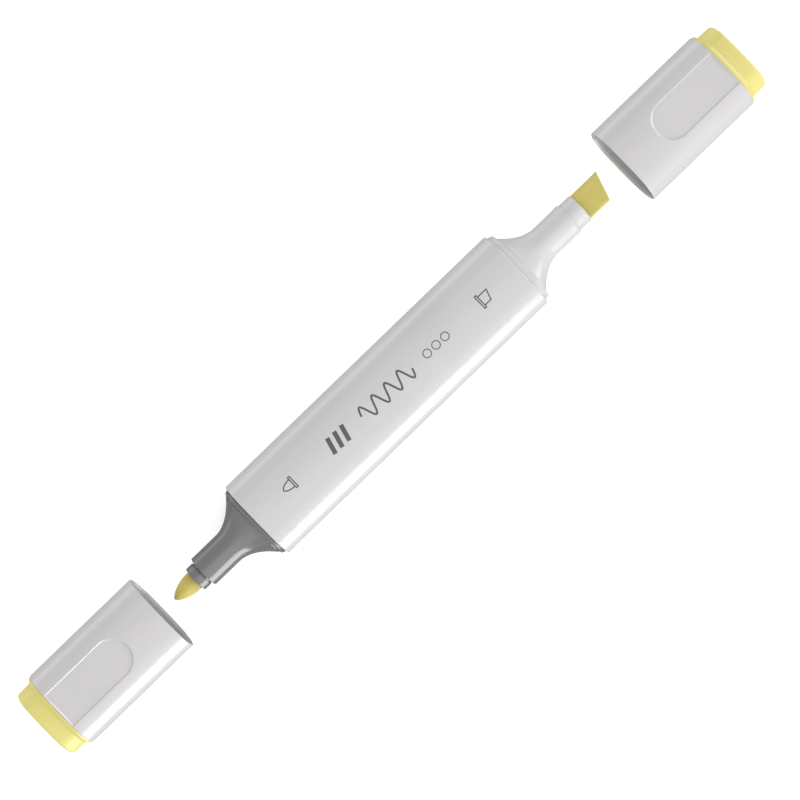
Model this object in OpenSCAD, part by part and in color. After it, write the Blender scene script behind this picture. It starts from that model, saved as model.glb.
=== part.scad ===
// Twin-tip felt marker: a flat barrel with a bullet nib at one end and a chisel
// nib at the other, and a pull-off cap for each, drawn with both caps off.
// Millimetres. X runs along the marker towards the chisel nib, Y across its broad
// faces and Z up. It lies on a broad face, and the origin is the middle of the
// barrel's underside.

/* [Barrel] */
// Length of the barrel between its two end faces
barrel_len = 80; // [74:1:96]
// Width of the barrel and of the cap shells
body_w = 20.2; // [19.7:0.1:21]
// Thickness of the barrel and of the cap shells
body_t = 12.8; // [12.7:0.1:13.6]
// Radius of the rounded sides, as a share of half the thickness
side_round = 0.96; // [0.93:0.01:0.98]
// Wall thickness of the barrel
barrel_wall = 1; // [0.9:0.05:1]

/* [Necks] */
// Diameter of the round neck tubes that the caps seal on
tube_d = 7.8; // [7.7:0.05:7.9]
// Distance from the barrel's end face to the end of the bullet neck's tube
bullet_tube_end = 16.5; // [16:0.1:16.8]
// Distance from the barrel's end face to the end of the chisel neck's tube
chisel_tube_end = 16.3; // [15.8:0.1:16.6]
// Diameter of the collar round the bullet nib
bullet_collar_d = 6.2; // [5.8:0.1:6.6]
// Length of the collar round the bullet nib
bullet_collar_len = 2.4; // [2:0.1:2.8]
// Diameter of the collar round the chisel nib
chisel_collar_d = 7.3; // [7.25:0.05:7.45]
// Length of the collar round the chisel nib
chisel_collar_len = 3.4; // [2.8:0.1:3.6]

/* [Nibs] */
// Diameter of the bullet nib
bullet_nib_d = 4.6; // [3.8:0.1:4.8]
// Length of the bullet nib outside its collar
bullet_nib_out = 6.4; // [5.6:0.1:6.8]
// Width of the chisel nib
chisel_nib_w = 6.8; // [6.2:0.1:6.8]
// Thickness of the chisel nib
chisel_nib_t = 3; // [2.6:0.1:3.1]
// Length of the chisel nib outside its collar, on its long side
chisel_nib_out = 8; // [7:0.1:8.2]
// How much shorter the chisel nib is on its other side
chisel_slant = 2.1; // [1.5:0.1:3]

/* [Ink reservoir] */
// Diameter of the fibre reservoir
reservoir_d = 8.7; // [8.2:0.1:8.7]
// Distance from each end of the reservoir to the barrel's end face
reservoir_gap = 4; // [3:0.5:6]

/* [Caps] */
// Length of each cap shell
shell_len = 30.7; // [30.5:0.1:33]
// Length of each end plug outside its shell
plug_out = 5.1; // [4:0.1:6]
// Wall thickness of the shells at the mouth
mouth_wall = 0.7; // [0.65:0.05:0.75]
// Width of the thumb recesses
recess_w = 9.4; // [8:0.1:10]
// Distance from the shell's plug end to the round end of each thumb recess
recess_len = 21.2; // [18:0.1:21.8]
// Depth of the thumb recesses below the crown of the face
recess_depth = 0.5; // [0.3:0.05:0.6]

/* [Position] */
// Distance that the bullet nib's cap stands off the barrel
bullet_cap_off = 29.3; // [26.5:0.1:40]
// Distance that the chisel nib's cap stands off the barrel
chisel_cap_off = 32.9; // [28.5:0.1:40]

/* [Hidden] */

$fn = 64;
section_sides = 64;
circle_round = 0.999;
axis_z = body_t / 2;
fit_gap = 0.05;      // between pieces that are pushed together
slide_gap = 0.15;    // least, between a neck's flange and the shell that slides over it
seal_gap = 0.06;     // between a neck's snap bead and the cap liner's bore
over = 1;            // how far a cutting shape runs past what it cuts

// Necks: places are distances from the barrel's end face, outwards.
skirt_len = 7;
skirt_wall = 0.75;
bullet_flange_len = 1.2;
chisel_flange_len = 1.3;
bullet_flange_taper = 0.2;
chisel_flange_taper = 0.15;
bullet_flare_w = 17.1;
chisel_flare_w = 16;
flare_power = 2;
flare_t = 10.6;
flare_end = 8.8;
flare_rings = 14;
flare_step = 0.15;   // the flare ends this far outside the tube
bead_h = 0.06;
bead_len = 0.7;
groove_depth = 0.3;
groove_len = 0.5;
hollow_end = 11;
hollow_d = tube_d - 1.4;
liner_bore_d = tube_d + 2 * (bead_h + seal_gap);

// Nibs
ogive_len = 5.1;
ogive_points = 14;
nib_reach = 5;       // length of each nib inside the reservoir
tail_point = 2;
chisel_corner_r = 0.8;
chisel_tail_w = 5.2;
chisel_tail_t = 2.6;
film_wall = 0.13;
rib_t = 0.8;

// Caps: places are distances from the mouth, inwards.
flange_w = body_w - 2 * (mouth_wall + slide_gap);
flange_t = body_t - 2 * (mouth_wall + slide_gap);
rim_wall = 0.4;      // the mouth is thinner still over its first rim_depth
rim_depth = 0.5;
mouth_depth = 8;
inner_wall = 1.3;
spigot_len = 1.7;
liner_plate = 1.2;
liner_mouth = 11;
liner_wall = 0.72;
plug_lip_len = 0.6;
plug_lip_inset = 0.2;
plug_inset = 1.1;
cove_len = 0.8;
end_round = 0.7;
recess_rim = 0.45;   // what is left of the face between a recess and the plug
arc_steps = 5;

// Closed outline with rounded sides and broad faces that are shallow arcs tangent to
// them. It is exactly 2 * half_w by 2 * half_t, with a true flat in the middle of each
// face and side. The sides' radius is round * half_t, and a round of almost 1 with
// equal halves gives a circle.
function section(half_w, half_t, round) =
    let (r = round * half_t,
         y0 = half_w - r,
         crown_r = (y0 * y0 / (half_t - r) + half_t + r) / 2,
         crown_end = y0 / (crown_r - r),
         flat = cos(180 / section_sides),
         fit_y = half_w / (y0 + r * flat),
         fit_z = half_t / (half_t - crown_r * (1 - flat)))
    [for (i = [0 : section_sides - 1])
        let (a = (i + 0.5) * 360 / section_sides, c = cos(a), s = sin(a))
        abs(c) < crown_end
            ? [fit_y * crown_r * c, fit_z * sign(s) * (half_t - crown_r * (1 - abs(s)))]
            : [fit_y * (sign(c) * y0 + r * c), fit_z * r * s]];

// Prism of the marker's section, w by t, from x0 to x1.
module prism(x0, x1, w, t) {
    translate([x0, 0, 0]) rotate([90, 0, 90])
        linear_extrude(x1 - x0) polygon(section(w / 2, t / 2, side_round));
}

// Round bar along X, from x0 to x1.
module bar(x0, x1, d) {
    translate([x0, 0, 0]) rotate([0, 90, 0]) cylinder(h = x1 - x0, d = d);
}

// Solid through sections given as [x, half width, half thickness, round].
module loft(stations) {
    n = section_sides;
    last = len(stations) - 1;
    points = [for (s = stations) for (p = section(s[1], s[2], s[3])) [s[0], p[0], p[1]]];
    sides = [for (r = [0 : last - 1]) for (i = [0 : n - 1])
        let (j = (i + 1) % n)
        [r * n + i, (r + 1) * n + i, (r + 1) * n + j, r * n + j]];
    start = [for (i = [0 : n - 1]) i];
    finish = [for (i = [0 : n - 1]) last * n + n - 1 - i];
    polyhedron(points = points, faces = concat([start], sides, [finish]), convexity = 6);
}

// Rectangle with rounded corners, w by t and extruded from x0 to x1.
module rounded_bar(x0, x1, w, t, r) {
    translate([x0, 0, 0]) rotate([90, 0, 90]) linear_extrude(x1 - x0) {
        square([w - 2 * r, t], center = true);
        square([w, t - 2 * r], center = true);
        for (y = [-1, 1], z = [-1, 1])
            translate([y * (w / 2 - r), z * (t / 2 - r)]) circle(r = r);
    }
}

// Each of these stands its children at one end of the barrel, or at one cap's mouth.
module at_bullet_end() {
    translate([-barrel_len / 2, 0, axis_z]) mirror([1, 0, 0]) children();
}
module at_chisel_end() {
    translate([barrel_len / 2, 0, axis_z]) children();
}
module at_bullet_cap() {
    translate([-barrel_len / 2 - bullet_cap_off, 0, axis_z]) mirror([1, 0, 0]) children();
}
module at_chisel_cap() {
    translate([barrel_len / 2 + chisel_cap_off, 0, axis_z]) children();
}

// Barrel: one extruded shell, with four ribs that hold the reservoir in the middle.
module barrel() {
    half = barrel_len / 2;
    rib_half = half - skirt_len - 1;
    rib_from = reservoir_d / 2 + film_wall + 2 * fit_gap;
    wall_y = body_w / 2 - barrel_wall / 2;
    wall_z = body_t / 2 - barrel_wall / 2;
    color([0.85, 0.85, 0.85]) translate([0, 0, axis_z]) {
        difference() {
            prism(-half, half, body_w, body_t);
            prism(-half - over, half + over, body_w - 2 * barrel_wall, body_t - 2 * barrel_wall);
        }
        for (side = [-1, 1]) {
            translate([0, side * (rib_from + wall_y) / 2, 0])
                cube([2 * rib_half, wall_y - rib_from, rib_t], center = true);
            translate([0, 0, side * (rib_from + wall_z) / 2])
                cube([2 * rib_half, rib_t, wall_z - rib_from], center = true);
        }
    }
}

// Outside of a neck: skirt, flange, flare that turns from the marker's section into
// a round tube, snap bead and nib collar.
module neck_outside(flange_len, taper, flare_w, tube_end, collar_d, collar_end) {
    skirt_w = body_w - 2 * (barrel_wall + fit_gap);
    skirt_t = body_t - 2 * (barrel_wall + fit_gap);
    end_r = tube_d / 2 + flare_step;
    difference() {
        prism(-skirt_len, flange_len / 2, skirt_w, skirt_t);
        prism(-skirt_len - over, 0, skirt_w - 2 * skirt_wall, skirt_t - 2 * skirt_wall);
    }
    loft([[0, flange_w / 2 + taper, flange_t / 2 + taper, side_round],
          [flange_len, flange_w / 2 - taper, flange_t / 2 - taper, side_round]]);
    loft([for (i = [0 : flare_rings])
        let (u = i / flare_rings, k = pow(1 - u, flare_power))
        [flange_len / 2 + (flare_end - flange_len / 2) * u,
         end_r + (flare_w / 2 - end_r) * k,
         end_r + (flare_t / 2 - end_r) * k,
         side_round + (circle_round - side_round) * u]]);
    bar(flare_end / 2, tube_end, tube_d);
    bar(tube_end - bead_len - 0.3, tube_end - 0.3, tube_d + 2 * bead_h);
    bar(tube_end - 1, collar_end, collar_d);
}

// Grey neck that holds the bullet nib.
module bullet_neck() {
    tube_end = bullet_tube_end;
    collar_end = tube_end + bullet_collar_len;
    color([0.5, 0.5, 0.5]) at_bullet_end() difference() {
        neck_outside(bullet_flange_len, bullet_flange_taper, bullet_flare_w, tube_end,
            bullet_collar_d, collar_end);
        bar(-over, hollow_end, hollow_d);
        bar(hollow_end - over, collar_end + over, bullet_nib_d + 2 * fit_gap);
        difference() {
            bar(tube_end, tube_end + groove_len, bullet_collar_d + over);
            bar(tube_end - over, tube_end + over, bullet_collar_d - 2 * groove_depth);
        }
    }
}

// White neck that holds the chisel nib in a slot.
module chisel_neck() {
    collar_end = chisel_tube_end + chisel_collar_len;
    color([0.86, 0.86, 0.86]) at_chisel_end() difference() {
        neck_outside(chisel_flange_len, chisel_flange_taper, chisel_flare_w, chisel_tube_end,
            chisel_collar_d, collar_end);
        bar(-over, hollow_end, hollow_d);
        rounded_bar(hollow_end - over, collar_end + over,
            chisel_nib_w + 2 * fit_gap, chisel_nib_t + 2 * fit_gap, chisel_corner_r + fit_gap);
    }
}

// Radius of the bullet nib at u, from 0 at its tip to 1 at its full diameter.
function ogive(u) = bullet_nib_d / 2 * pow(1 - pow(1 - u, 1.6), 0.65);

// Round fibre nib: an ogive outside, and a pointed tail inside the reservoir.
module bullet_nib() {
    tip = bullet_tube_end + bullet_collar_len + bullet_nib_out;
    tail = -reservoir_gap - nib_reach;
    tip_half = [for (i = [0 : ogive_points]) let (u = pow(i / ogive_points, 1.5))
        [ogive(u), tip - ogive_len * u]];
    color([0.8, 0.76, 0.42]) at_bullet_end() rotate([0, 90, 0]) rotate_extrude()
        polygon(concat(tip_half,
            [[bullet_nib_d / 2, tail + tail_point], [bullet_nib_d / 5, tail], [0, tail]]));
}

// Flat fibre nib, cut on a slant, with a narrower tail inside the reservoir.
module chisel_nib() {
    tip = chisel_tube_end + chisel_collar_len + chisel_nib_out;
    far = chisel_nib_w;
    color([0.8, 0.76, 0.42]) at_chisel_end() {
        intersection() {
            rounded_bar(hollow_end + fit_gap, tip, chisel_nib_w, chisel_nib_t, chisel_corner_r);
            translate([0, 0, -far]) linear_extrude(2 * far) polygon([
                [0, -far / 2], [tip - chisel_slant, -far / 2], [tip, far / 2], [0, far / 2]]);
        }
        translate([-reservoir_gap - nib_reach, -chisel_tail_w / 2, -chisel_tail_t / 2])
            cube([hollow_end + 1 + reservoir_gap + nib_reach, chisel_tail_w, chisel_tail_t]);
    }
}

// Fibre reservoir, with a pocket in each end that a nib's tail fills.
module ink_reservoir() {
    half = barrel_len / 2 - reservoir_gap;
    color([0.86, 0.82, 0.5]) translate([0, 0, axis_z]) difference() {
        bar(-half, half, reservoir_d);
        bar(-half - over, -half + nib_reach + fit_gap, bullet_nib_d + 2 * fit_gap);
        translate([half - nib_reach - fit_gap, -chisel_tail_w / 2 - fit_gap, -chisel_tail_t / 2 - fit_gap])
            cube([nib_reach + over, chisel_tail_w + 2 * fit_gap, chisel_tail_t + 2 * fit_gap]);
    }
}

// Clear film wrapped round the reservoir.
module reservoir_film() {
    half = barrel_len / 2 - reservoir_gap;
    inner_d = reservoir_d + fit_gap;
    color([0.92, 0.92, 0.9]) translate([0, 0, axis_z]) difference() {
        bar(-half, half, inner_d + 2 * film_wall);
        bar(-half - over, half + over, inner_d);
    }
}

// Rounded U with a square end just short of the plug, cut into one broad face.
module thumb_recess() {
    r = recess_w / 2;
    translate([0, 0, body_t / 2 - recess_depth]) {
        translate([shell_len - recess_len + r, -r, 0])
            cube([recess_len - r - recess_rim, recess_w, body_t]);
        translate([shell_len - recess_len + r, 0, 0]) cylinder(h = body_t, r = r);
    }
}

// Outer shell of a cap, open at both ends, with a thumb recess on each broad face.
module cap_shell() {
    color([0.84, 0.84, 0.84]) difference() {
        prism(0, shell_len, body_w, body_t);
        prism(-over, rim_depth, body_w - 2 * rim_wall, body_t - 2 * rim_wall);
        prism(rim_depth - over, mouth_depth, body_w - 2 * mouth_wall, body_t - 2 * mouth_wall);
        prism(mouth_depth - over, shell_len + over, body_w - 2 * inner_wall, body_t - 2 * inner_wall);
        thumb_recess();
        mirror([0, 0, 1]) thumb_recess();
    }
}

// Inner cap that seals on the neck tube, with a plate that fills the shell.
module cap_liner() {
    end = shell_len - spigot_len;
    inset = 2 * (inner_wall + fit_gap);
    color([0.9, 0.9, 0.88]) difference() {
        union() {
            bar(liner_mouth, end - liner_plate / 2, liner_bore_d + 2 * liner_wall);
            prism(end - liner_plate, end, body_w - inset, body_t - inset);
        }
        bar(liner_mouth - over, end - liner_plate + 0.2, liner_bore_d);
    }
}

// Coloured end plug: spigot inside the shell, thin lip over its end, a cove, and a
// body with rounded edges.
module cap_plug() {
    inset = 2 * (inner_wall + fit_gap);
    half_w = body_w / 2 - plug_inset;
    half_t = body_t / 2 - plug_inset;
    grow = plug_inset - plug_lip_inset;
    lip_end = shell_len + plug_lip_len;
    end = shell_len + plug_out;
    cove = [for (i = [0 : arc_steps]) let (a = 90 * i / arc_steps)
        [lip_end + cove_len * (1 - cos(a)), 0.6 * grow * (1 - sin(a))]];
    rounding = [for (i = [0 : arc_steps]) let (a = 90 * i / arc_steps)
        [end - end_round * (1 - sin(a)), -end_round * (1 - cos(a))]];
    color([0.9, 0.86, 0.53]) {
        prism(shell_len - spigot_len, shell_len + plug_lip_len / 2, body_w - inset, body_t - inset);
        loft([for (p = concat([[shell_len, grow], [lip_end, grow]], cove, rounding))
            [p[0], half_w + p[1], half_t + p[1], side_round]]);
    }
}

barrel();
bullet_neck();
chisel_neck();
bullet_nib();
chisel_nib();
ink_reservoir();
reservoir_film();
at_bullet_cap() cap_shell();  // bullet_cap_shell
at_bullet_cap() cap_liner();  // bullet_cap_liner
at_bullet_cap() cap_plug();  // bullet_cap_plug
at_chisel_cap() cap_shell();  // chisel_cap_shell
at_chisel_cap() cap_liner();  // chisel_cap_liner
at_chisel_cap() cap_plug();  // chisel_cap_plug
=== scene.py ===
"""Looks of the twin-tip felt marker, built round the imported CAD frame.

Metres. X runs along the marker towards the chisel nib, Y across its broad faces, Z up.
Sizes and places come from the CAD nodes' boxes. The details that the boxes don't give
are named below, in millimetres times MM.
"""
import math

import bmesh
import bpy
import numpy as np
from mathutils import Matrix, Vector, noise


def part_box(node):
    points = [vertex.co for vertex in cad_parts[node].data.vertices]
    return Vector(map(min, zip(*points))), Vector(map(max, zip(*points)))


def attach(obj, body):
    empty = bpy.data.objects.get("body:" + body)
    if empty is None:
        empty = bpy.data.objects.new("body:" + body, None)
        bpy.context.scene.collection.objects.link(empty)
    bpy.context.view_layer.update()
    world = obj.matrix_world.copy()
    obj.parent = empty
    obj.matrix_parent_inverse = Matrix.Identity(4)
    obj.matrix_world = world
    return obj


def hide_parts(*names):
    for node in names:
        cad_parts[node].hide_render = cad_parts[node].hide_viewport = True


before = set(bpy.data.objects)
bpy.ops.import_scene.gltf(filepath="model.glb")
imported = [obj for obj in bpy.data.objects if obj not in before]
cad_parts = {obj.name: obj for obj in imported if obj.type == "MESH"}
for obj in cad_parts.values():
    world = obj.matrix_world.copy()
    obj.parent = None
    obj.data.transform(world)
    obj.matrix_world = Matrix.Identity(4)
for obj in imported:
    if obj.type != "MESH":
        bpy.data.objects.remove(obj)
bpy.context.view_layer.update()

MM = 0.001

# ---------------------------------------------------------------- sizes
BARREL_LO, BARREL_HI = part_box("barrel")
HALF_LEN = (BARREL_HI.x - BARREL_LO.x) / 2
HALF_W = (BARREL_HI.y - BARREL_LO.y) / 2
HALF_T = (BARREL_HI.z - BARREL_LO.z) / 2
AXIS_Z = (BARREL_HI.z + BARREL_LO.z) / 2

SIDE_ROUND = 0.96          # radius of the rounded sides, as a share of half the thickness
CIRCLE_ROUND = 0.999       # the same share for a section that is round all over

BARREL_WALL = 1.0 * MM
BULLET_END_ROUND = 0.25 * MM
CHISEL_END_ROUND = 0.35 * MM
BARREL_INNER_ROUND = 0.12 * MM

SUNK_LINE_W = 0.22 * MM    # all neck places are distances from the barrel's end face
STEP_RUN = 0.02 * MM       # how far a steep step runs along X
GROOVE_W = 0.25 * MM
FLARE_END = 9.2 * MM
TUBE_START = FLARE_END + 0.2 * MM
TUBE_R = 3.9 * MM
HOLLOW_END = 11 * MM
HOLLOW_R = 3.2 * MM
SKIRT_WALL = 0.75 * MM
SKIRT_GAP = 0.05 * MM      # between the skirt and the barrel

RIM_WALL = 0.34 * MM       # all cap places are distances from the mouth
RIM_DEPTH = 0.5 * MM
RIM_CHAMFER = 0.08 * MM
MOUTH_WALL = 0.7 * MM
MOUTH_DEPTH = 8 * MM
INNER_WALL = 1.3 * MM
RECESS_HALF_W = 4.7 * MM
RECESS_LEN = 21.2 * MM
RECESS_DEPTH = 0.5 * MM
RECESS_WALL = 0.64 * MM    # widest part of the recess's sloping wall
RECESS_SLOPE = 0.78        # fall of that wall
RECESS_BEND = 0.15         # share of the wall that is rounded at each of its ends
RECESS_RIM = 0.1 * MM      # what is left of the face between a recess and the plug
PATCH_REACH = 6 * MM       # of a broad face's own mesh, past the middle of the round end
PLUG_LIP = 0.6 * MM
PLUG_WAIST = 0.9 * MM      # how far the plug's body stands in from its lip

RING_STEPS = 32            # segments in a quarter of a ring
WELD = 1e-7                # vertices nearer than this become one
SHARP_EDGE = math.radians(50)


# ---------------------------------------------------------------- outlines
def section_arcs(half_w, half_t, share):
    """The two arcs of a quarter of a section, a shallow one over the broad face and a side
    one of radius share * half_t: (side radius, y of its centre, crown radius, sine of the
    angle at which they meet)."""
    r = share * half_t
    y0 = half_w - r
    crown_r = (y0 * y0 / (half_t - r) + half_t + r) / 2
    return r, y0, crown_r, min(1, y0 / (crown_r - r))


def quarter(half_w, half_t, share=SIDE_ROUND, steps=RING_STEPS):
    """Rows of (y, z, normal y, normal z) from the top of a section to its +Y side."""
    r, y0, crown_r, meet = section_arcs(half_w, half_t, share)
    turn = math.asin(meet)
    crown = crown_r * turn
    side = r * (math.pi / 2 - turn)
    rows = []
    for i in range(steps + 1):
        s = (crown + side) * i / steps
        if s < crown:
            a = s / crown_r
            rows.append((crown_r * math.sin(a), half_t - crown_r * (1 - math.cos(a)),
                         math.sin(a), math.cos(a)))
        else:
            a = turn + (s - crown) / r
            rows.append((y0 + r * math.sin(a), r * math.cos(a), math.sin(a), math.cos(a)))
    return rows


def box_quarter(half_w, half_t, corner, steps=RING_STEPS):
    """The same for a rectangle with rounded corners."""
    arc = steps // 3
    flat_w = (steps - arc) * 2 // 3
    flat_t = steps - arc - flat_w
    y0, z0 = half_w - corner, half_t - corner
    rows = [(y0 * i / flat_w, half_t, 0.0, 1.0) for i in range(flat_w)]
    for i in range(arc):
        a = math.pi / 2 * i / arc
        rows.append((y0 + corner * math.sin(a), z0 + corner * math.cos(a),
                     math.sin(a), math.cos(a)))
    rows += [(half_w, z0 * (1 - i / flat_t), 1.0, 0.0) for i in range(flat_t + 1)]
    return rows


def full_ring(rows):
    """The whole closed outline from its quarter, starting at the top and going to +Y."""
    right = list(rows)
    lower = [(y, -z, ny, -nz) for y, z, ny, nz in reversed(rows)][1:]
    left = [(-y, z, -ny, nz) for y, z, ny, nz in reversed(right + lower)][1:-1]
    return np.array(right + lower + left)


def round_ring(r, steps=RING_STEPS):
    """A round outline."""
    return full_ring(quarter(r, r, CIRCLE_ROUND, steps))


def ring_at(x, outline, inset=0.0):
    """Points of an outline at x, moved in along its normals by inset."""
    y = outline[:, 0] - outline[:, 2] * inset
    z = outline[:, 1] - outline[:, 3] * inset
    return np.column_stack([np.full(len(outline), x), y, AXIS_Z + z])


def rounded_path(points, closed=False, steps=4):
    """A path through (a, b, corner radius) points, with each corner turned into an arc."""
    count = len(points)
    path = []
    for i, (a, b, radius) in enumerate(points):
        here = Vector((a, b))
        if radius <= 0 or (not closed and i in (0, count - 1)):
            path.append((a, b))
            continue
        before = (Vector(points[i - 1][:2]) - here).normalized()
        after = (Vector(points[(i + 1) % count][:2]) - here).normalized()
        half = before.angle(after) / 2
        centre = here + (before + after).normalized() * radius / math.sin(half)
        start = here + before * radius / math.tan(half) - centre
        end = here + after * radius / math.tan(half) - centre
        turn = math.atan2(start.x * end.y - start.y * end.x, start.dot(end))
        for k in range(steps + 1):
            spoke = Matrix.Rotation(turn * k / steps, 2) @ start
            path.append((centre.x + spoke.x, centre.y + spoke.y))
    return path


# ---------------------------------------------------------------- meshes
def add_grid(bm, points, wrap=False, index=0):
    """Quads through a grid of points, rows by columns, in one of the piece's materials.
    wrap joins the last column to the first."""
    verts = [[bm.verts.new(p) for p in row] for row in points]
    columns = len(verts[0])
    for upper, lower in zip(verts, verts[1:]):
        for c in range(columns if wrap else columns - 1):
            d = (c + 1) % columns
            bm.faces.new((upper[c], upper[d], lower[d], lower[c])).material_index = index
    return verts


def close_ends(bm, verts):
    """A flat face at each end of a tube of vertices."""
    bm.faces.new(verts[0])
    bm.faces.new(reversed(verts[-1]))


def skin(rings, closed=False):
    """A mesh through rings. An open one gets a flat face at each end."""
    bm = bmesh.new()
    rows = list(rings) + ([rings[0]] if closed else [])
    verts = add_grid(bm, rows, wrap=True)
    if not closed:
        close_ends(bm, verts)
    return bm


def add_piece(name, bm, materials, body, slot, *nodes):
    """Finishes a mesh as a piece that rides on a body and stands for CAD nodes."""
    bmesh.ops.remove_doubles(bm, verts=bm.verts[:], dist=WELD)
    bmesh.ops.recalc_face_normals(bm, faces=bm.faces[:])
    mesh = bpy.data.meshes.new(name)
    bm.to_mesh(mesh)
    bm.free()
    for material in materials if isinstance(materials, tuple) else (materials,):
        mesh.materials.append(material)
    mesh.shade_smooth()
    mesh.set_sharp_from_angle(angle=SHARP_EDGE)
    piece = bpy.data.objects.new(name, mesh)
    bpy.context.scene.collection.objects.link(piece)
    weights = piece.modifiers.new("even_normals", "WEIGHTED_NORMAL")
    weights.keep_sharp = True
    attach(piece, body)
    if nodes:
        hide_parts(*nodes)
    return piece


# ---------------------------------------------------------------- materials
CLOUD_SIZE = 14 * MM       # patches of slightly different colour
GLOSS_SIZE = 11 * MM       # patches of slightly different gloss
GLOSS_SPREAD = 0.02
SKIN_SIZE = 0.25 * MM
SKIN_HEIGHT = 0.004 * MM
FIBRE_SIZE = 0.16 * MM
FIBRE_SQUEEZE = (0.16, 1, 1)   # stretches the fibres along X
FIBRE_HEIGHT = 0.03 * MM
BLOTCH_SIZE = 1.6 * MM


def srgb(*levels):
    """Linear colour from 8-bit levels."""
    def linear(v):
        v = v / 255
        return v / 12.92 if v <= 0.04045 else ((v + 0.055) / 1.055) ** 2.4
    return (*map(linear, levels), 1.0)


def scaled(colour, factor):
    """A lighter or darker colour."""
    return (*(c * factor for c in colour[:3]), 1.0)


class Look:
    """A new material with its principled shader, and short ways to add nodes to it."""

    def __init__(self, name):
        self.material = bpy.data.materials.new(name)
        self.material.use_nodes = True
        self.nodes = self.material.node_tree.nodes
        self.links = self.material.node_tree.links
        self.shader = self.nodes["Principled BSDF"]
        self.coords = self.nodes.new("ShaderNodeTexCoord").outputs["Object"]

    def along_x(self):
        """The place along the marker."""
        split = self.nodes.new("ShaderNodeSeparateXYZ")
        self.links.new(self.coords, split.inputs["Vector"])
        return split.outputs["X"]

    def grain(self, size, detail, squeeze=(1, 1, 1)):
        """Noise with features of about this size in metres."""
        mapping = self.nodes.new("ShaderNodeMapping")
        mapping.inputs["Scale"].default_value = squeeze
        texture = self.nodes.new("ShaderNodeTexNoise")
        texture.inputs["Scale"].default_value = 1 / size
        texture.inputs["Detail"].default_value = detail
        self.links.new(self.coords, mapping.inputs["Vector"])
        self.links.new(mapping.outputs["Vector"], texture.inputs["Vector"])
        return texture.outputs["Fac"]

    def spread(self, value, low, high, low_in=0.3, high_in=0.7):
        """Maps a value onto a range. Noise lies mostly between 0.3 and 0.7."""
        mapped = self.nodes.new("ShaderNodeMapRange")
        mapped.inputs["From Min"].default_value = low_in
        mapped.inputs["From Max"].default_value = high_in
        mapped.inputs["To Min"].default_value = low
        mapped.inputs["To Max"].default_value = high
        self.links.new(value, mapped.inputs["Value"])
        return mapped.outputs["Result"]

    def mix(self, factor, first, second):
        """Mixes two colours, each a value or a socket."""
        mixer = self.nodes.new("ShaderNodeMix")
        mixer.data_type = "RGBA"
        colour_a, colour_b, colour_out = mixer.inputs[6], mixer.inputs[7], mixer.outputs[2]
        self.links.new(factor, mixer.inputs["Factor"])
        for socket, colour in ((colour_a, first), (colour_b, second)):
            if isinstance(colour, tuple):
                socket.default_value = colour
            else:
                self.links.new(colour, socket)
        return colour_out

    def bump(self, height, strength, distance):
        """Fine relief from a noise."""
        relief = self.nodes.new("ShaderNodeBump")
        relief.inputs["Strength"].default_value = strength
        relief.inputs["Distance"].default_value = distance
        self.links.new(height, relief.inputs["Height"])
        self.link(relief.outputs["Normal"], "Normal")

    def link(self, value, socket):
        """Feeds a socket of the shader."""
        self.links.new(value, self.shader.inputs[socket])


def plastic(name, colour, rough, mottle=0.012, relief=0.05, ior=1.5):
    """Moulded plastic: faint cloudy colour, uneven gloss and a very fine skin."""
    look = Look(name)
    cloud = look.spread(look.grain(CLOUD_SIZE, 1), 0, 1)
    gloss = look.spread(look.grain(GLOSS_SIZE, 1), rough - GLOSS_SPREAD, rough + GLOSS_SPREAD)
    look.link(look.mix(cloud, scaled(colour, 1 - mottle), scaled(colour, 1 + mottle)),
              "Base Color")
    look.link(gloss, "Roughness")
    look.bump(look.grain(SKIN_SIZE, 2), relief, SKIN_HEIGHT)
    look.shader.inputs["IOR"].default_value = ior
    return look.material


def felt(name, colour, dark, x_dry, x_wet):
    """Pressed fibre: streaks along X and loose fuzz, darker and wetter towards x_wet."""
    look = Look(name)
    fibres = look.grain(FIBRE_SIZE, 4, FIBRE_SQUEEZE)
    streak = look.spread(fibres, 0, 1)
    blotch = look.spread(look.grain(BLOTCH_SIZE, 3), 0, 1)
    soaked = look.spread(look.along_x(), 0, 1, x_dry, x_wet)
    dry = look.mix(streak, scaled(colour, 0.9), scaled(colour, 1.08))
    patchy = look.mix(blotch, dry, scaled(colour, 0.93))
    wet = look.mix(streak, scaled(dark, 0.9), scaled(dark, 1.1))
    look.link(look.mix(soaked, patchy, wet), "Base Color")
    look.link(look.spread(fibres, 0.72, 0.95), "Roughness")
    look.bump(fibres, 0.5, FIBRE_HEIGHT)
    look.shader.inputs["Sheen Weight"].default_value = 0.15
    return look.material


barrel_plastic = plastic("barrel_plastic", srgb(191, 190, 190), 0.25)
cap_plastic = plastic("cap_plastic", srgb(191, 189, 189), 0.25)
# The cap's own plastic made darker: painted shade for the inside of the hollow cap.
cap_inside_painted_shade = plastic("cap_painted_shade_plastic", srgb(175, 175, 174), 0.4)
grey_plastic = plastic("grey_neck_plastic", srgb(105, 105, 105), 0.22)
white_plastic = plastic("white_neck_plastic", srgb(191, 191, 191), 0.34)
liner_plastic = plastic("liner_plastic", srgb(205, 205, 202), 0.35)
plug_plastic = plastic("plug_plastic", srgb(212, 202, 120), 0.4, ior=1.38)
print_ink = plastic("print_ink", srgb(70, 70, 70), 0.45, mottle=0.06)
fibre = plastic("reservoir_fibre", srgb(222, 212, 120), 0.9, mottle=0.08, relief=0.5)
film = plastic("clear_film", srgb(232, 232, 228), 0.15)


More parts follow.
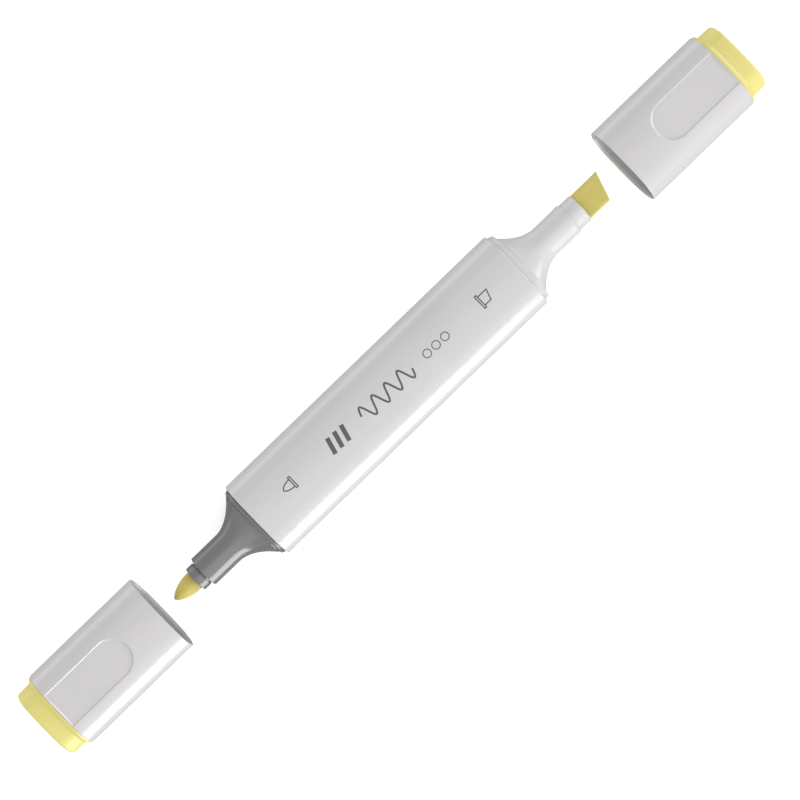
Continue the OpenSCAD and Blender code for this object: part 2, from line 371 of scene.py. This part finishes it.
# ---------------------------------------------------------------- barrel
def make_barrel():
    """One flat shell, open at both ends."""
    outline = full_ring(quarter(HALF_W, HALF_T))
    path = rounded_path([
        (-HALF_LEN, 0, BULLET_END_ROUND), (HALF_LEN, 0, CHISEL_END_ROUND),
        (HALF_LEN, BARREL_WALL, BARREL_INNER_ROUND),
        (-HALF_LEN, BARREL_WALL, BARREL_INNER_ROUND)], closed=True)
    bm = skin([ring_at(x, outline, inset) for x, inset in path], closed=True)
    add_piece("barrel_shell", bm, barrel_plastic, "barrel", "barrel_plastic", "barrel")


# ---------------------------------------------------------------- necks
# line is the depth of the sunk line beside the barrel, taper is how far each side of the
# flange falls from its root to its tip, and bore is the outline of the nib's hole.
BULLET_NECK = {
    "flange_len": 1.05 * MM, "taper": 0.4 * MM, "line": 0.3 * MM,
    "flare_half_w": 8.55 * MM, "flare_half_t": 5.2 * MM,
    "tube_end": 16.5 * MM, "bead": 0, "collar_r": 3.1 * MM, "collar_groove": 0.3 * MM,
    "bore": round_ring(2.35 * MM),
}
CHISEL_NECK = {
    "flange_len": 1.3 * MM, "taper": 0.3 * MM, "line": 0.01 * MM,
    "flare_half_w": 8 * MM, "flare_half_t": 5.39 * MM,
    "tube_end": 16.3 * MM, "bead": 0.06 * MM, "collar_r": 3.65 * MM, "collar_groove": 0,
    "bore": full_ring(box_quarter(3.45 * MM, 1.55 * MM, 0.65 * MM)),
}


def flange_path(neck, root_w, tip_w):
    """(x, half width) down a neck's flange: a sunk line beside the barrel, a tapered land
    with rounded edges, and a groove before the flare."""
    length = neck["flange_len"]
    sunk = root_w - neck["line"]
    groove = neck["flare_half_w"] - neck["line"] / 3
    return rounded_path([
        (0, sunk, 0), (SUNK_LINE_W, sunk, 0.02 * MM),
        (SUNK_LINE_W + STEP_RUN, root_w, 0.05 * MM), (length, tip_w, 0.14 * MM),
        (length + STEP_RUN, groove, 0.04 * MM), (length + GROOVE_W, groove, 0)], steps=3)


def flange_sections(neck, root_w, root_t):
    """(x, half width, half thickness) down the flange. The thickness keeps the flange's
    margin on its land, and goes down to the flare's after the land's tip."""
    tip_w = root_w - neck["taper"]
    flare_w, flare_t = neck["flare_half_w"], neck["flare_half_t"]
    sections = []
    for x, half_w in flange_path(neck, root_w, tip_w):
        half_t = half_w + root_t - root_w
        if half_w < tip_w:
            half_t = np.interp(half_w, (flare_w, tip_w), (flare_t, tip_w + root_t - root_w))
            half_t -= max(0, flare_w - half_w)
        sections.append((x, half_w, half_t))
    return sections


def flare_sections(neck, steps=26):
    """(x, half width, half thickness, roundness) from the flange down to the round tube."""
    start = neck["flange_len"] + GROOVE_W + STEP_RUN
    sections = []
    for i in range(steps + 1):
        t = i / steps
        k = (1 - t) ** 2
        sections.append((start + (FLARE_END - start) * t,
                         TUBE_R + (neck["flare_half_w"] - TUBE_R) * k,
                         TUBE_R + (neck["flare_half_t"] - TUBE_R) * k,
                         SIDE_ROUND + (CIRCLE_ROUND - SIDE_ROUND) * t))
    return sections


def tube_path(neck, end):
    """(x, radius) along the tube, over its bead if it has one, and along the collar to its
    front face."""
    tube_end, collar_r = neck["tube_end"], neck["collar_r"]
    bead_r = TUBE_R + neck["bead"]
    path = [(TUBE_START, TUBE_R, 0)]
    if neck["bead"]:
        path += [(tube_end - 1.1 * MM, TUBE_R, 0.1 * MM), (tube_end - 1.0 * MM, bead_r, 0.05 * MM)]
    path += [(tube_end, bead_r, 0.16 * MM)]
    if neck["collar_groove"]:
        groove_r = collar_r - neck["collar_groove"]
        path += [(tube_end, groove_r, 0.06 * MM), (tube_end + 0.45 * MM, groove_r, 0.06 * MM),
                 (tube_end + 0.5 * MM, collar_r, 0.06 * MM)]
    else:
        path += [(tube_end, collar_r, 0.08 * MM)]
    path += [(end, collar_r, 0.12 * MM), (end, collar_r - 0.2 * MM, 0)]
    return rounded_path(path)


def make_neck(side, sign, neck, material, slot):
    """One neck, from its skirt inside the barrel to its collar, and back through its bore."""
    lo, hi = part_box(side + "_neck")
    end = max(abs(lo.x), abs(hi.x)) - HALF_LEN
    skirt = HALF_LEN - min(abs(lo.x), abs(hi.x))
    skirt_w, skirt_t = HALF_W - BARREL_WALL - SKIRT_GAP, HALF_T - BARREL_WALL - SKIRT_GAP

    def section(x, half_w, half_t, share=SIDE_ROUND):
        return ring_at(sign * (HALF_LEN + x), full_ring(quarter(half_w, half_t, share)))

    def circle(x, r):
        return section(x, r, r, CIRCLE_ROUND)

    rings = [section(-skirt, skirt_w, skirt_t), section(-0.05 * MM, skirt_w, skirt_t)]
    rings += [section(*row) for row in flange_sections(neck, (hi.y - lo.y) / 2, (hi.z - lo.z) / 2)]
    rings += [section(*row) for row in flare_sections(neck)]
    rings += [circle(x, r) for x, r in tube_path(neck, end)]
    rings += [ring_at(sign * (HALF_LEN + x), neck["bore"]) for x in (end - 0.03 * MM, HOLLOW_END)]
    rings += [circle(x, HOLLOW_R) for x in (HOLLOW_END, 0)]
    rings += [section(x, skirt_w - SKIRT_WALL, skirt_t - SKIRT_WALL) for x in (0, -skirt)]
    add_piece(side + "_neck_body", skin(rings, closed=True), material, "barrel", slot,
              side + "_neck")


# ---------------------------------------------------------------- nibs
FUZZ_SIZE = 0.5 * MM
FUZZ_HEIGHT = 0.02 * MM
FUZZ_SQUEEZE = 0.4         # along X, so that the bumps run with the fibres


def roughen(bm):
    """Small even bumps, so that a nib's outline isn't perfectly smooth."""
    bm.normal_update()
    moves = []
    for vertex in bm.verts:
        where = Vector((vertex.co.x * FUZZ_SQUEEZE, vertex.co.y, vertex.co.z)) / FUZZ_SIZE
        moves.append((vertex, vertex.normal * (noise.noise(where) * FUZZ_HEIGHT)))
    for vertex, move in moves:
        vertex.co += move


def make_bullet_nib():
    """Round felt: a rounded point, a straight stretch and a tail narrowed at its end."""
    lo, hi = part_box("bullet_nib")
    r = (hi.z - lo.z) / 2
    tip, tail = lo.x, hi.x
    point_len = 5.1 * MM
    point_steps, straight_steps = 40, 30
    outline = round_ring(r, 16)
    rings = []
    for i in range(1, point_steps + 1):
        u = (i / point_steps) ** 1.8
        inset = r - r * (1 - (1 - u) ** 1.6) ** 0.65
        rings.append(ring_at(tip + point_len * u, outline, inset))
    shoulder = tip + point_len
    straight = tail - 2 * MM - shoulder
    for i in range(1, straight_steps + 1):
        rings.append(ring_at(shoulder + straight * i / straight_steps, outline))
    rings.append(ring_at(tail, outline, 0.6 * r))
    bm = skin(rings)
    roughen(bm)
    material = felt("bullet_felt", srgb(196, 181, 88), srgb(164, 152, 80),
                    tip + 3.6 * MM, tip + 6.4 * MM)
    add_piece("bullet_nib_felt", bm, material, "barrel", "nib_felt", "bullet_nib")


def make_chisel_nib():
    """Flat felt: a narrow tail, and a head whose end is slanted and slightly rounded."""
    lo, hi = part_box("chisel_nib")
    half_w, half_t = (hi.y - lo.y) / 2, (hi.z - lo.z) / 2
    slant = 2.1 * MM / (2 * half_w)
    tip_round = 0.16 * MM
    head_steps, end_steps = 60, 6
    outline = full_ring(box_quarter(half_w, half_t, 0.6 * MM))
    tail_outline = full_ring(box_quarter(2.6 * MM, 1.3 * MM, 0.2 * MM))
    head = HALF_LEN + HOLLOW_END + 0.05 * MM
    straight = hi.x - tip_round - head

    def slanted(x, inset):
        """A ring that leans more the nearer it is to the tip."""
        ring = ring_at(x, outline, inset)
        lean = (x - head) / (hi.x - head)
        ring[:, 0] -= (half_w - ring[:, 1]) * slant * lean
        return ring

    rings = [ring_at(lo.x, tail_outline), ring_at(head, tail_outline)]
    rings += [slanted(head + straight * i / head_steps, 0) for i in range(head_steps + 1)]
    for degrees in (20, 45, 70, 90):
        a = math.radians(degrees)
        rings.append(slanted(hi.x - tip_round * (1 - math.sin(a)), tip_round * (1 - math.cos(a))))
    rings += [slanted(hi.x, tip_round + (half_t - 0.3 * MM) * i / end_steps)
              for i in range(1, end_steps)]
    bm = skin(rings)
    roughen(bm)
    material = felt("chisel_felt", srgb(194, 182, 97), srgb(188, 175, 93),
                    hi.x - 1 * MM, hi.x - 9 * MM)
    add_piece("chisel_nib_felt", bm, material, "barrel", "nib_felt", "chisel_nib")


# ---------------------------------------------------------------- caps
# Places of the mesh lines across the recess's wall, as shares of its width.
WALL_ROWS = (-0.1, 0, 0.12, 0.24, 0.36, 0.46, 0.54, 0.62, 0.7, 0.78, 0.86, 0.93, 1, 1.1)
WALL_LINES = (1.1, 1, 0.88, 0.76, 0.64, 0.54, 0.44, 0.34, 0.24, 0.14, 0.06, 0)


def shell_rows(side_steps=14):
    """Outline of the cap shell as a quarter whose points lie on the lines that the thumb
    recess needs: (rows, number of rows on the broad face)."""
    r, y0, crown_r, meet = section_arcs(HALF_W, HALF_T, SIDE_ROUND)
    inner = RECESS_HALF_W - RECESS_WALL
    face = list(np.linspace(0, inner - 0.15 * MM, 10))
    face += [inner + RECESS_WALL * k for k in WALL_ROWS]
    face += list(np.linspace(RECESS_HALF_W + 0.35 * MM, 6.7 * MM, 5))
    rows = []
    for y in face:
        s = y / crown_r
        if s < meet:
            c = math.cos(math.asin(s))
            rows.append((y, HALF_T - crown_r * (1 - c), s, c))
        else:
            s = (y - y0) / r
            c = math.cos(math.asin(s))
            rows.append((y, r * c, s, c))
    first = math.asin((face[-1] - y0) / r)
    for i in range(1, side_steps + 1):
        a = first + (math.pi / 2 - first) * i / side_steps
        rows.append((y0 + r * math.sin(a), r * math.cos(a), math.sin(a), math.cos(a)))
    return rows, len(face)


def recess_drop(distance, crown_drop):
    """How far the surface is pushed in, at a distance inside the recess's outline, where
    the crown is already crown_drop below the middle of the face. The wall falls evenly,
    so it is narrower where the recess is shallower, and it is rounded at both ends."""
    if distance <= 0:
        return 0
    depth = RECESS_DEPTH - crown_drop
    t = min(1, distance * RECESS_SLOPE / depth)
    if t < RECESS_BEND:
        share = t * t / 2 / RECESS_BEND
    elif t > 1 - RECESS_BEND:
        share = 1 - RECESS_BEND - (1 - t) ** 2 / 2 / RECESS_BEND
    else:
        share = t - RECESS_BEND / 2
    return depth * share / (1 - RECESS_BEND)


def recess_lines(round_x, wall_x):
    """Places of the mesh lines across a recess, from its round end's middle to the plug."""
    straight = np.linspace(round_x, wall_x - 1.3 * RECESS_WALL, 9)
    return [*straight, *(wall_x - RECESS_WALL * k for k in WALL_LINES)]


def face_spokes(face_y, patch_x, across, along):
    """Mesh lines (x, y) of a broad face, each with a point on every face row. The rows run
    straight beside the recess and bend round its end, and the last of them is the patch's
    rectangular border."""
    edge_y = face_y[-1]
    centre = Vector((across[-1], 0))
    arc_rows = int(np.searchsorted(face_y, RECESS_HALF_W + 0.3 * MM))
    arc_end = face_y[arc_rows - 1]

    def bent(row, target):
        """Point of a face row on the ray from the round end's centre to a border point."""
        ray = (Vector(target) - centre).normalized()
        radius = face_y[row]
        if row < arc_rows:
            return tuple(centre + ray * radius)
        t = (radius - arc_end) / (edge_y - arc_end)
        return tuple((centre + ray * arc_end).lerp(Vector(target), t))

    border = [(x, edge_y) for x in reversed(across[1:-1])]
    border += [(patch_x, y) for y in [*face_y[::-1], *(-face_y[1:])]]
    border += [(x, -edge_y) for x in across[1:-1]]
    spokes = [[(x, y) for y in face_y] for x in reversed(along)]
    spokes += [[bent(row, target) for row in range(len(face_y))] for target in border]
    spokes += [[(x, -y) for y in face_y] for x in along]
    return spokes


def add_shell_rings(bm, place, outline, length, seat_x, patch_x):
    """The shell's inside, from the plug to the mouth, painted darker as shade, and its outside
    beside the mouth.
    """
    inside = rounded_path([
        (seat_x, 0, 0), (length, 0, RECESS_RIM), (length, INNER_WALL, 0.1 * MM),
        (MOUTH_DEPTH + 0.4 * MM, INNER_WALL, 0.4 * MM), (MOUTH_DEPTH, MOUTH_WALL, 0.4 * MM),
        (RIM_DEPTH, MOUTH_WALL, 0.08 * MM), (RIM_DEPTH - STEP_RUN, RIM_WALL, 0.04 * MM),
        (RIM_CHAMFER, RIM_WALL, 0)])
    outside = rounded_path([
        (RIM_CHAMFER, RIM_WALL, 0), (0, RIM_WALL - RIM_CHAMFER, 0), (0, 0, 0.2 * MM),
        (patch_x, 0, 0)])
    # The inside takes material 1, the darker plastic that paints the shade inside the cap.
    for path, index in ((inside, 1), (outside, 0)):
        rings = [ring_at(place(x), outline, inset) for x, inset in path]
        add_grid(bm, rings, wrap=True, index=index)


def make_shell(side, sign):
    """One cap shell: its outside has a thumb recess on each broad face, with mesh lines
    that follow the recess's outline."""
    lo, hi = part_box(side + "_cap_shell")
    mouth = min(abs(lo.x), abs(hi.x))
    length = hi.x - lo.x
    rows, face_count = shell_rows()
    face = np.array(rows[:face_count])
    wall_x = length - RECESS_RIM
    round_x = length - RECESS_LEN + RECESS_HALF_W
    patch_x = round_x - PATCH_REACH
    across = list(np.linspace(patch_x, round_x, 13))
    along = recess_lines(round_x, wall_x)

    def place(x):
        return sign * (mouth + x)

    def face_point(x, y, up):
        """A point on the upper or lower broad face."""
        z = np.interp(abs(y), face[:, 0], face[:, 1])
        inside_by = min(RECESS_HALF_W - math.hypot(min(0, x - round_x), y), wall_x - x)
        return (place(x), y, AXIS_Z + up * (z - recess_drop(inside_by, HALF_T - z)))

    bm = bmesh.new()
    add_shell_rings(bm, place, full_ring(rows), length, along[-1], patch_x)
    spokes = face_spokes(face[:, 0], patch_x, across, along)
    for up in (1, -1):
        add_grid(bm, [[face_point(x, y, up) for x, y in spoke] for spoke in spokes])
    band = [(y, z) for y, z, _, _ in rows[face_count - 1:]]
    band += [(y, -z) for y, z in reversed(band[:-1])]
    for edge in (1, -1):
        add_grid(bm, [[(place(x), edge * y, AXIS_Z + z) for y, z in band]
                      for x in across[:-1] + along])
    add_piece(side + "_cap_body", bm, (cap_plastic, cap_inside_painted_shade), side + "_cap", "cap_plastic",
              side + "_cap_shell")


def make_liner(side, sign):
    """Inner cap: a round cup with a plate that fills the shell."""
    lo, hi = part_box(side + "_cap_liner")
    near, far = sorted((abs(lo.x), abs(hi.x)))
    bore = 4.02 * MM
    outer = bore + 0.72 * MM
    plate_x = far - 1.2 * MM
    cup = rounded_path([(plate_x + 0.2 * MM, bore, 0), (near, bore, 0.3 * MM),
                        (near, outer, 0.2 * MM), (plate_x, outer, 0)])
    plate = full_ring(quarter((hi.y - lo.y) / 2, (hi.z - lo.z) / 2))
    rings = [ring_at(sign * x, round_ring(r)) for x, r in cup]
    rings += [ring_at(sign * x, plate) for x in (plate_x, far)]
    add_piece(side + "_cap_seal", skin(rings), liner_plastic, side + "_cap", "liner_plastic",
              side + "_cap_liner")


def make_plug(side, sign):
    """Coloured end plug: spigot, thin lip, cove and a body with rounded edges."""
    lo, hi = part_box(side + "_cap_plug")
    near, far = sorted((abs(lo.x), abs(hi.x)))
    lip_w, lip_t = (hi.y - lo.y) / 2, (hi.z - lo.z) / 2
    shell = max(abs(v.x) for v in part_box(side + "_cap_shell"))
    lip = shell + PLUG_LIP
    face = far - 0.01 * MM
    spigot = INNER_WALL + 0.05 * MM - (HALF_W - lip_w)
    path = rounded_path([
        (near, spigot, 0), (shell, spigot, 0), (shell, 0, 0.12 * MM), (lip, 0, 0.16 * MM),
        (lip + 0.1 * MM, PLUG_WAIST * 0.55, 0.2 * MM), (lip + 0.7 * MM, PLUG_WAIST, 0.5 * MM),
        (far, PLUG_WAIST + 0.05 * MM, 0.75 * MM), (face, PLUG_WAIST + 2 * MM, 0.6 * MM),
        (face, PLUG_WAIST + 3.4 * MM, 0)], steps=6)
    outline = full_ring(quarter(lip_w, lip_t))
    rings = [ring_at(sign * x, outline, inset) for x, inset in path]
    add_piece(side + "_cap_end", skin(rings), plug_plastic, side + "_cap", "plug_plastic",
              side + "_cap_plug")


# ---------------------------------------------------------------- printing
INK_PROUD = 0.012 * MM
INK_SUNK = 0.05 * MM
STROKE_STEP = 0.3 * MM
MARK_LINE = 0.28 * MM
BAR_LINE = 1.05 * MM
WAVE_LINE = 0.46 * MM
CIRCLE_LINE = 0.22 * MM

BARREL_FACE = np.array(quarter(HALF_W, HALF_T))


def face_height(y):
    """Height of the barrel's upper face at y."""
    return AXIS_Z + np.interp(abs(y), BARREL_FACE[:, 0], BARREL_FACE[:, 1])


def closely_spaced(points, closed):
    """The same path with extra points, so that a straight stroke follows the curved face."""
    dense = []
    for a, b in zip(points, points[1:] + points[:1] if closed else points[1:]):
        pieces = max(1, math.ceil((b - a).length / STROKE_STEP))
        dense += [a.lerp(b, i / pieces) for i in range(pieces)]
    return dense if closed else dense + [points[-1]]


def stroke_edges(points, width, closed):
    """The two edges of a line of even width, mitred at its corners."""
    count = len(points)
    left, right = [], []
    for i, p in enumerate(points):
        before = points[i - 1] if closed or i else None
        after = points[(i + 1) % count] if closed or i < count - 1 else None
        into = (p - before).normalized() if before is not None else (after - p).normalized()
        out = (after - p).normalized() if after is not None else into
        along = (into + out).normalized()
        across = Vector((-along.y, along.x)) * width / 2 / max(0.5, along.dot(into))
        left.append(p + across)
        right.append(p - across)
    return left, right


def add_stroke(bm, path, width, closed=False):
    """A printed line of even width along (x, y) points, lying on the barrel's face."""
    points = closely_spaced([Vector(p) for p in path], closed)
    rows = []
    for a, b in zip(*stroke_edges(points, width, closed)):
        a_top, b_top = face_height(a.y), face_height(b.y)
        rows.append([(a.x, a.y, a_top - INK_SUNK), (a.x, a.y, a_top + INK_PROUD),
                     (b.x, b.y, b_top + INK_PROUD), (b.x, b.y, b_top - INK_SUNK)])
    if closed:
        rows.append(rows[0])
    verts = add_grid(bm, rows, wrap=True)
    if not closed:
        close_ends(bm, verts)


def placed(x, y, points):
    """Points given in millimetres from a mark's own place."""
    return [(x + a * MM, y + b * MM) for a, b in points]


def add_print(name, bm):
    """Ink on the barrel, which stands for no CAD node."""
    add_piece(name, bm, print_ink, "barrel", "print_ink")


def make_bullet_mark():
    """Outline of a round-pointed nib on a collar."""
    x, y = -27.9 * MM, 0.5 * MM
    bm = bmesh.new()
    nib = [(-0.5, 1.0), (-1.3, 0.95), (-2.2, 0.7), (-2.8, 0.35), (-3.05, 0.0)]
    nib += [(a, -b) for a, b in reversed(nib[:-1])]
    collar = [(-0.5, 1.45), (-0.5, -1.45), (0, -1.45), (0, 1.45)]
    add_stroke(bm, placed(x, y, nib), MARK_LINE)
    add_stroke(bm, placed(x, y, collar), MARK_LINE, closed=True)
    add_print("bullet_tip_mark", bm)


def make_chisel_mark():
    """Outline of a slanted nib on a collar."""
    x, y = 28.6 * MM, 0.3 * MM
    bm = bmesh.new()
    nib = [(0.5, 1.2), (3.1, 1.2), (2.3, -1.2), (0.5, -1.2)]
    collar = [(0, 1.7), (0.5, 1.7), (0.5, -1.7), (0, -1.7)]
    add_stroke(bm, placed(x, y, nib), MARK_LINE)
    add_stroke(bm, placed(x, y, collar), MARK_LINE, closed=True)
    add_print("chisel_tip_mark", bm)


def make_stroke_scale():
    """A row of plain strokes that goes from broad to fine: slanted bars, a wave and rings."""
    y = 0.3 * MM
    bm = bmesh.new()
    for i in range(3):
        bar = placed((-16.6 + 2.1 * i) * MM, y, [(-0.5, -1.9), (0.5, 1.9)])
        add_stroke(bm, bar, BAR_LINE)
    wave_steps, wave_turns, wave_len, wave_height = 96, 4, 15.4, 1.85
    wave = [(wave_len * i / wave_steps,
             wave_height * math.sin(2 * math.pi * wave_turns * i / wave_steps))
            for i in range(wave_steps + 1)]
    add_stroke(bm, placed(-7.4 * MM, y, wave), WAVE_LINE)
    ring_steps, ring_r = 24, 0.95
    for i in range(3):
        turns = [2 * math.pi * k / ring_steps for k in range(ring_steps)]
        ring = [(ring_r * math.cos(a), ring_r * math.sin(a)) for a in turns]
        add_stroke(bm, placed((12.6 + 2.7 * i) * MM, y, ring), CIRCLE_LINE, closed=True)
    add_print("stroke_scale_mark", bm)


# ---------------------------------------------------------------- build
make_barrel()
make_neck("bullet", -1, BULLET_NECK, grey_plastic, "grey_neck_plastic")
make_neck("chisel", 1, CHISEL_NECK, white_plastic, "white_neck_plastic")
make_bullet_nib()
make_chisel_nib()
for side, sign in (("bullet", -1), ("chisel", 1)):
    make_shell(side, sign)
    make_liner(side, sign)
    make_plug(side, sign)
make_bullet_mark()
make_chisel_mark()
make_stroke_scale()

for node, material in (("ink_reservoir", fibre), ("reservoir_film", film)):
    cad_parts[node].data.materials.clear()
    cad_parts[node].data.materials.append(material)


# ---------------------------------------------------------------- stage, light and camera
FLOOR_REACH = 3
FLOOR_SUNK = 0.02 * MM


def make_floor():
    """White paper that the plastic doesn't mirror, so its edges stay grey against the white."""
    bm = bmesh.new()
    corners = ((-1, -1), (1, -1), (1, 1), (-1, 1))
    bm.faces.new([bm.verts.new((x * FLOOR_REACH, y * FLOOR_REACH, -FLOOR_SUNK))
                  for x, y in corners])
    mesh = bpy.data.meshes.new("floor")
    bm.to_mesh(mesh)
    bm.free()
    floor = bpy.data.objects.new("floor", mesh)
    bpy.context.scene.collection.objects.link(floor)
    material = bpy.data.materials.new("floor_white")
    material.use_nodes = True
    shader = material.node_tree.nodes["Principled BSDF"]
    shader.inputs["Base Color"].default_value = (0.93, 0.93, 0.93, 1)
    shader.inputs["Roughness"].default_value = 0.9
    shader.inputs["Specular IOR Level"].default_value = 0.0
    shader.inputs["Emission Color"].default_value = (1, 1, 1, 1)
    shader.inputs["Emission Strength"].default_value = 0.35
    mesh.materials.append(material)
    floor.visible_glossy = False
    floor.visible_shadow = False


def make_softbox(name, centre, target, size, radiance, gloss):
    """A rectangular light, placed and sized in millimetres, that shows up either as a
    reflection or as diffuse light."""
    centre = [v * MM for v in centre]
    target = [v * MM for v in target]
    data = bpy.data.lights.new(name, "AREA")
    data.shape = "RECTANGLE"
    size_x, size_y = [v * MM for v in size]
    data.size, data.size_y = size_x, size_y
    data.energy = radiance * math.pi * size_x * size_y
    light = bpy.data.objects.new(name, data)
    light.location = centre
    light.rotation_euler = (Vector(target) - Vector(centre)).to_track_quat("-Z", "Y").to_euler()
    light.visible_camera = False
    light.visible_diffuse = not gloss
    light.visible_glossy = gloss
    bpy.context.scene.collection.objects.link(light)


def make_world(above, below):
    """An even dome over the floor and a dim one under it."""
    world = bpy.data.worlds.new("studio")
    world.use_nodes = True
    tree = world.node_tree
    coords = tree.nodes.new("ShaderNodeTexCoord")
    split = tree.nodes.new("ShaderNodeSeparateXYZ")
    level = tree.nodes.new("ShaderNodeMapRange")
    level.inputs["From Min"].default_value = -0.02
    level.inputs["From Max"].default_value = 0.0
    level.inputs["To Min"].default_value = below
    level.inputs["To Max"].default_value = above
    tree.links.new(coords.outputs["Generated"], split.inputs["Vector"])
    tree.links.new(split.outputs["Z"], level.inputs["Value"])
    tree.nodes["Background"].inputs["Color"].default_value = (1, 1, 1, 1)
    tree.links.new(level.outputs["Result"], tree.nodes["Background"].inputs["Strength"])
    bpy.context.scene.world = world


def make_camera():
    """Straight above the barrel, a little to the bullet nib's side of the middle of the
    view, with the marker turned from lower left to upper right."""
    data = bpy.data.cameras.new("camera")
    data.sensor_width = 36
    data.lens = 102.8
    target = Vector((1.3 * MM, -2.9 * MM, AXIS_Z))
    place = Vector((-5.36 * MM, -2.9 * MM, AXIS_Z + 507 * MM))
    turn = math.radians(-44.02)
    back = (place - target).normalized()
    right = Vector((math.cos(turn), math.sin(turn), 0))
    right = (right - back * right.dot(back)).normalized()
    up = back.cross(right)
    axes = Matrix((right, up, back)).transposed().to_4x4()
    camera = bpy.data.objects.new("camera", data)
    camera.matrix_world = Matrix.Translation(place) @ axes
    bpy.context.scene.collection.objects.link(camera)
    bpy.context.scene.camera = camera


make_floor()
make_world(1.0, 0.3)
# A tall box beside the barrel gives the bright line along its -Y side, and stops short of
# the chisel cap. One beyond the chisel end lights the edges that face it. Dimmer ones lift
# the far edge and the near half of the broad faces. The last one gives the diffuse light.
make_softbox("side_box", (-99, -300, 45), (-99, 0, 45), (322, 228), 8, True)
make_softbox("end_box", (360, -60, 100), (0, 0, 10), (420, 190), 5.5, True)
make_softbox("far_box", (0, 300, 0), (0, 0, 0), (700, 130), 1.5, True)
make_softbox("over_box_wide", (0, -235, 600), (0, 0, 0), (1200, 700), 0.65, True)
make_softbox("over_box_narrow", (0, -290, 600), (0, 0, 0), (1200, 590), 0.65, True)
make_softbox("key_box", (60, -500, 180), (0, 0, 0), (400, 300), 3.9, False)
make_camera()
bpy.context.scene.view_settings.view_transform = "Standard"
